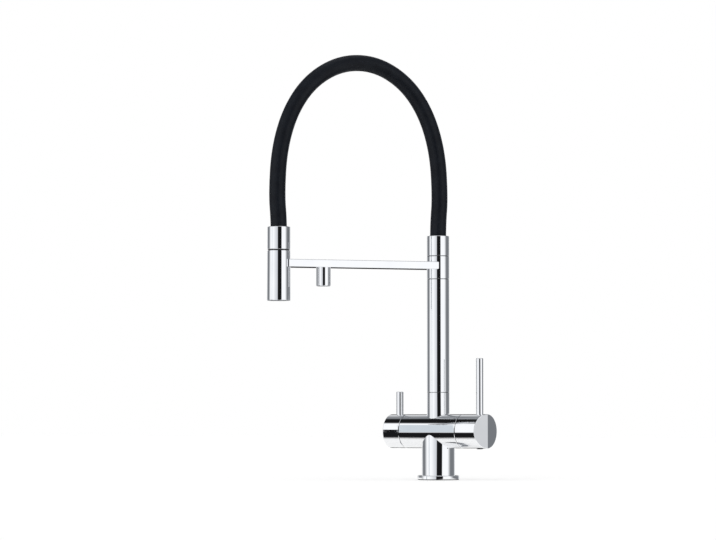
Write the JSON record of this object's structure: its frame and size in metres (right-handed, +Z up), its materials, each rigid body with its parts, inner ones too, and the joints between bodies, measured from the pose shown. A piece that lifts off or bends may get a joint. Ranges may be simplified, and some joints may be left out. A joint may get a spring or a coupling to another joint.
{
  "type": "filtered water kitchen tap",
  "caption": "Chrome kitchen tap with a black arched hose, pull-off spray head docked on a swivel arm, separate filtered water nozzle, mixer lever and filter lever.",
  "frame": {"origin": "centre of the base on the worktop's upper face, on the riser's axis", "axes": "+Z up along the riser, +X along the barrel to the mixer handle, -Y to the user"},
  "size_m": [0.2124, 0.2079, 0.5909],
  "materials": {
    "chrome": "polished chrome plate on brass",
    "brass": "machined",
    "steel": "zinc plated, dull",
    "magnet": "nickel plated",
    "hose_black": "matte silicone sleeve",
    "hose_inner": "smooth",
    "seal_rubber": "moulded",
    "dark_plastic": "satin",
    "grey_plastic": "satin",
    "grey_silicone": "matte",
    "white_plastic": "moulded",
    "ceramic": "lapped alumina ceramic"
  },
  "bodies": {
    "tap_body": {"base_flange": "chrome", "base_gasket": "seal_rubber", "main_body": "chrome", "fixing_stud": "steel", "clamp_pad": "seal_rubber", "clamp_plate": "steel", "fixing_nut": "brass", "cartridge_base": "white_plastic", "cartridge_seals": "seal_rubber", "mixer_fixed_disc": "ceramic", "mixer_cartridge": "white_plastic", "cartridge_nut": "brass", "filter_valve": "brass", "valve_washer": "seal_rubber", "valve_seals": "seal_rubber", "valve_fixed_disc": "ceramic", "riser_nipple": "brass", "nipple_seals": "seal_rubber", "riser_washer": "seal_rubber", "riser_tube": "chrome", "filter_tube": "white_plastic", "swivel_spindle": "brass", "spindle_seals": "seal_rubber", "lower_slip_ring": "dark_plastic"},
    "spout": {"swivel_arm": "chrome", "dock_magnet": "magnet", "upper_slip_ring": "dark_plastic", "filter_nozzle": "chrome", "nozzle_aerator": "grey_plastic", "column_ferrule": "chrome", "swivel_grub_screw": "steel", "hose_sleeve": "hose_black", "hose_core": "hose_inner"},
    "spray_head": {"head_shell": "chrome", "head_core": "white_plastic", "head_check_valve": "white_plastic", "head_keeper": "steel", "spray_face": "grey_plastic", "spray_pad": "grey_silicone", "head_aerator": "grey_plastic"},
    "head_collar": {"head_ferrule": "chrome", "head_ring": "dark_plastic", "head_retainer": "steel", "head_seal": "seal_rubber"},
    "mixer_handle": {"mixer_knob": "chrome", "mixer_lever": "chrome", "mixer_grub_screw": "steel", "mixer_plug": "dark_plastic", "cartridge_stem": "brass", "mixer_turning_disc": "ceramic"},
    "filter_handle": {"filter_knob": "chrome", "filter_lever": "chrome", "filter_grub_screw": "steel", "valve_spindle": "brass", "valve_turning_disc": "ceramic"}
  },
  "joints": [
    {"name": "arm_swivel", "type": "hinge", "parent": "tap_body", "child": "spout", "pos_m": [0, 0, 0.2653], "axis": [0, 0, 1], "range_deg": [-82.5, 157.5]},
    {"name": "head_pull", "type": "slide", "parent": "spout", "child": "spray_head", "axis": [-0.6088, -0.7934, 0], "range_m": [0, 0.06], "deforming": ["hose_sleeve", "hose_core"]},
    {"name": "head_turn", "type": "hinge", "parent": "spray_head", "child": "head_collar", "pos_m": [-0.1254, -0.16343, 0.285], "axis": [0, 0, 1], "continuous": true},
    {"name": "mixer_turn", "type": "hinge", "parent": "tap_body", "child": "mixer_handle", "pos_m": [0.04, 0, 0.06], "axis": [1, 0, 0], "range_deg": [0, 100]},
    {"name": "filter_turn", "type": "hinge", "parent": "tap_body", "child": "filter_handle", "pos_m": [-0.05, 0, 0.06], "axis": [1, 0, 0], "range_deg": [0, 90]}
  ]
}
